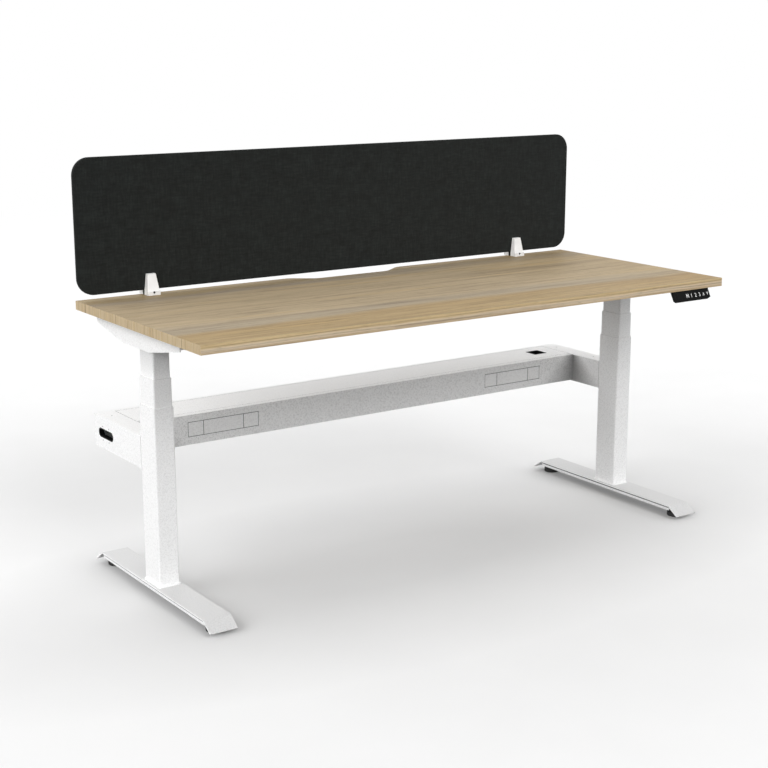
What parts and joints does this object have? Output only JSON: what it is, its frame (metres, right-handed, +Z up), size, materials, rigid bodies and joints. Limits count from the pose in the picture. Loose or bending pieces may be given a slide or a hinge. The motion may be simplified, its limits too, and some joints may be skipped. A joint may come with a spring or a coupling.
{
  "type": "height-adjustable desk",
  "caption": "Electric height-adjustable desk with an oak-look worktop, a charcoal felt screen, white telescopic columns, a cable beam and a hand control.",
  "frame": {"origin": "on the floor, under the middle of the worktop", "axes": "+Z up, +Y to the desk's rear where the screen stands, +X to the right of a person at the desk"},
  "size_m": [1.8, 0.776, 1.1765],
  "materials": {
    "white_powder": "satin white powder coat",
    "zinc_steel": "zinc plated",
    "bright_steel": "ground",
    "oak_board": "matt light oak laminate",
    "oak_edge": "matt light oak edge band",
    "charcoal_felt": "pressed polyester felt",
    "black_plastic": "matt",
    "black_rubber": "matt",
    "glide_plastic": "matt natural",
    "display_black": "gloss",
    "button_black": "satin",
    "white_plastic": "satin",
    "nut_plastic": "matt"
  },
  "bodies": {
    "base": {"arm_covers": "white_powder", "beam_cover": "white_powder", "beam_trough": "white_powder", "cable_hole_collar": "black_plastic", "column_base_plates": "white_powder", "column_bolts": "zinc_steel", "foot_channels": "white_powder", "left_arm_trough": "white_powder", "left_foot_plate": "white_powder", "left_outer_tube": "white_powder", "outer_tube_glides": "glide_plastic", "outlet_blanks": "white_powder", "port_inserts": "black_plastic", "right_arm_trough": "white_powder", "right_foot_plate": "white_powder", "right_outer_tube": "white_powder", "small_screws": "zinc_steel", "spindle_base_towers": "nut_plastic"},
    "lift": {"worktop_board": "oak_board", "worktop_edge_band": "oak_edge", "frame_screws": "zinc_steel", "left_side_arm": "white_powder", "right_side_arm": "white_powder", "front_crossbar": "white_powder", "rear_crossbar": "white_powder", "left_inner_tube": "white_powder", "right_inner_tube": "white_powder", "inner_tube_glides": "glide_plastic", "column_motors": "zinc_steel", "column_head_plates": "white_powder", "control_box": "black_plastic", "handset_housing": "black_plastic", "handset_display": "display_black", "screen_panel": "charcoal_felt", "bracket_fronts": "white_plastic", "bracket_rears": "white_plastic", "bracket_spacers": "black_plastic", "bracket_screws": "zinc_steel", "clamp_screws": "zinc_steel"},
    "button_memory": {"button_memory": "button_black"},
    "button_one": {"button_one": "button_black"},
    "button_two": {"button_two": "button_black"},
    "button_three": {"button_three": "button_black"},
    "button_up": {"button_up": "button_black"},
    "button_down": {"button_down": "button_black"},
    "left_middle": {"left_middle_tube": "white_powder", "left_middle_tower": "nut_plastic", "left_middle_glides": "glide_plastic"},
    "left_drive_screw": {"left_drive_screw": "bright_steel"},
    "left_hollow_screw": {"left_hollow_screw": "bright_steel"},
    "left_front_levelling_foot": {"left_front_levelling_foot": "black_rubber"},
    "left_rear_levelling_foot": {"left_rear_levelling_foot": "black_rubber"},
    "right_middle": {"right_middle_tube": "white_powder", "right_middle_tower": "nut_plastic", "right_middle_glides": "glide_plastic"},
    "right_drive_screw": {"right_drive_screw": "bright_steel"},
    "right_hollow_screw": {"right_hollow_screw": "bright_steel"},
    "right_front_levelling_foot": {"right_front_levelling_foot": "black_rubber"},
    "right_rear_levelling_foot": {"right_rear_levelling_foot": "black_rubber"}
  },
  "joints": [
    {"name": "height_travel", "type": "slide", "parent": "base", "child": "lift", "axis": [0, 0, 1], "range_m": [-0.1425, 0.5075]},
    {"name": "left_middle_travel", "type": "slide", "parent": "base", "child": "left_middle", "axis": [0, 0, 1], "range_m": [-0.07125, 0.25375]},
    {"name": "left_drive_screw_turn", "type": "hinge", "parent": "lift", "child": "left_drive_screw", "pos_m": [-0.835, 0.016, 0.45], "axis": [0, 0, 1], "continuous": true},
    {"name": "left_hollow_screw_turn", "type": "hinge", "parent": "left_middle", "child": "left_hollow_screw", "pos_m": [-0.835, 0.016, 0.3], "axis": [0, 0, 1], "continuous": true},
    {"name": "left_front_levelling_turn", "type": "hinge", "parent": "base", "child": "left_front_levelling_foot", "pos_m": [-0.835, -0.285, 0.02], "axis": [0, 0, 1], "continuous": true},
    {"name": "left_rear_levelling_turn", "type": "hinge", "parent": "base", "child": "left_rear_levelling_foot", "pos_m": [-0.835, 0.317, 0.02], "axis": [0, 0, 1], "continuous": true},
    {"name": "right_middle_travel", "type": "slide", "parent": "base", "child": "right_middle", "axis": [0, 0, 1], "range_m": [-0.07125, 0.25375]},
    {"name": "right_drive_screw_turn", "type": "hinge", "parent": "lift", "child": "right_drive_screw", "pos_m": [0.835, 0.016, 0.45], "axis": [0, 0, 1], "continuous": true},
    {"name": "right_hollow_screw_turn", "type": "hinge", "parent": "right_middle", "child": "right_hollow_screw", "pos_m": [0.835, 0.016, 0.3], "axis": [0, 0, 1], "continuous": true},
    {"name": "right_front_levelling_turn", "type": "hinge", "parent": "base", "child": "right_front_levelling_foot", "pos_m": [0.835, -0.285, 0.02], "axis": [0, 0, 1], "continuous": true},
    {"name": "right_rear_levelling_turn", "type": "hinge", "parent": "base", "child": "right_rear_levelling_foot", "pos_m": [0.835, 0.317, 0.02], "axis": [0, 0, 1], "continuous": true},
    {"name": "memory_press", "type": "slide", "parent": "lift", "child": "button_memory", "axis": [0, 0.8916, -0.4529], "range_m": [0, 0.001], "stiffness_N_per_m": 900, "springref_m": -0.0015},
    {"name": "one_press", "type": "slide", "parent": "lift", "child": "button_one", "axis": [0, 0.8916, -0.4529], "range_m": [0, 0.001], "stiffness_N_per_m": 900, "springref_m": -0.0015},
    {"name": "two_press", "type": "slide", "parent": "lift", "child": "button_two", "axis": [0, 0.8916, -0.4529], "range_m": [0, 0.001], "stiffness_N_per_m": 900, "springref_m": -0.0015},
    {"name": "three_press", "type": "slide", "parent": "lift", "child": "button_three", "axis": [0, 0.8916, -0.4529], "range_m": [0, 0.001], "stiffness_N_per_m": 900, "springref_m": -0.0015},
    {"name": "up_press", "type": "slide", "parent": "lift", "child": "button_up", "axis": [0, 0.8916, -0.4529], "range_m": [0, 0.001], "stiffness_N_per_m": 900, "springref_m": -0.0015},
    {"name": "down_press", "type": "slide", "parent": "lift", "child": "button_down", "axis": [0, 0.8916, -0.4529], "range_m": [0, 0.001], "stiffness_N_per_m": 900, "springref_m": -0.0015}
  ],
  "couplings": [
    {"joint": "left_middle_travel", "follows": "height_travel", "ratio": 0.5},
    {"joint": "left_drive_screw_turn", "follows": "height_travel", "rad_per_m": 314.16},
    {"joint": "left_hollow_screw_turn", "follows": "height_travel", "rad_per_m": 314.16},
    {"joint": "right_middle_travel", "follows": "height_travel", "ratio": 0.5},
    {"joint": "right_drive_screw_turn", "follows": "height_travel", "rad_per_m": 314.16},
    {"joint": "right_hollow_screw_turn", "follows": "height_travel", "rad_per_m": 314.16}
  ]
}
